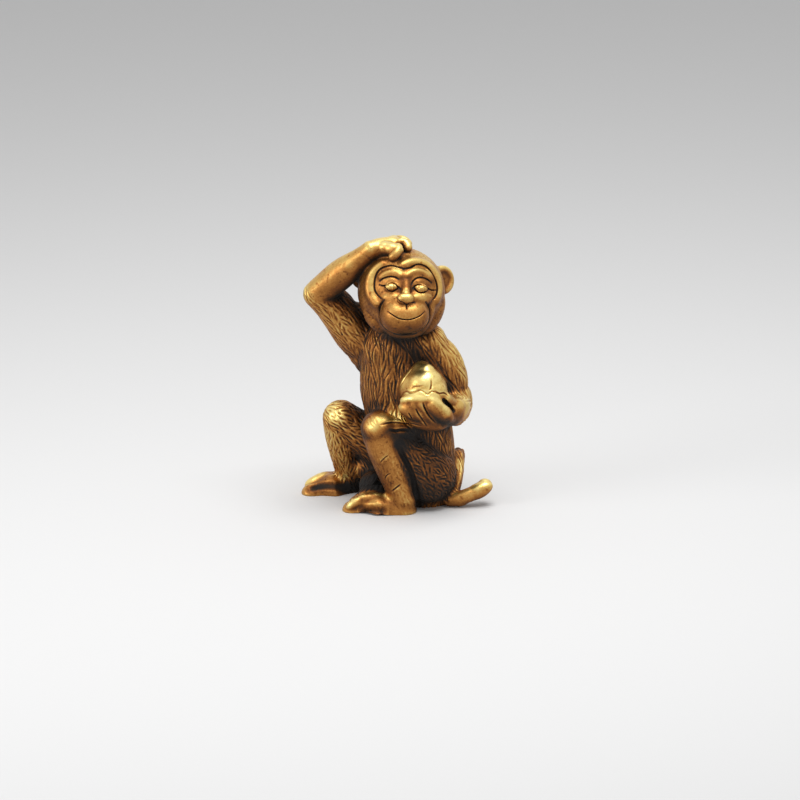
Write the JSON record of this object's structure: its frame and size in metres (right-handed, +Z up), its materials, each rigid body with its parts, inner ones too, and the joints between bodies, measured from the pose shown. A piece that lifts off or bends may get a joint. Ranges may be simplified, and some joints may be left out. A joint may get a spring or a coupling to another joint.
{
  "type": "seated monkey figurine",
  "caption": "Thumb-sized solid brass ornament: a squatting monkey with one hand on its brow, a peach held against its belly and its tail curled out beside it.",
  "frame": {"origin": "middle of the whole figure's box, on the plane that the seat and soles stand on", "axes": "+Z up; the face looks along -Y; +X is on the figure's left-hand side, where the peach hand's elbow and the tail are"},
  "size_m": [0.0274, 0.0176, 0.0397],
  "materials": {
    "antique_brass": "antique patina, dark in the grooves and rubbed bright on the high spots"
  },
  "bodies": {
    "root": {"belly": "antique_brass", "chest": "antique_brass", "neck": "antique_brass", "head": "antique_brass", "face": "antique_brass", "right_brow": "antique_brass", "left_brow": "antique_brass", "right_hood_rim": "antique_brass", "left_hood_rim": "antique_brass", "muzzle": "antique_brass", "nose": "antique_brass", "left_eye": "antique_brass", "right_eye": "antique_brass", "left_ear": "antique_brass", "right_ear": "antique_brass", "left_thigh": "antique_brass", "right_thigh": "antique_brass", "left_shin": "antique_brass", "right_shin": "antique_brass", "leg_web": "antique_brass", "left_foot": "antique_brass", "right_foot": "antique_brass", "right_upper_arm": "antique_brass", "right_forearm": "antique_brass", "right_palm": "antique_brass", "right_index_finger": "antique_brass", "right_middle_finger": "antique_brass", "right_ring_finger": "antique_brass", "right_little_finger": "antique_brass", "peach": "antique_brass", "peach_back_lobe": "antique_brass", "left_upper_arm": "antique_brass", "left_forearm": "antique_brass", "left_palm": "antique_brass", "left_index_finger": "antique_brass", "left_middle_finger": "antique_brass", "left_ring_finger": "antique_brass", "left_little_finger": "antique_brass", "left_thumb": "antique_brass", "tail_root": "antique_brass", "tail_fall": "antique_brass", "tail_curl": "antique_brass"}
  },
  "joints": []
}
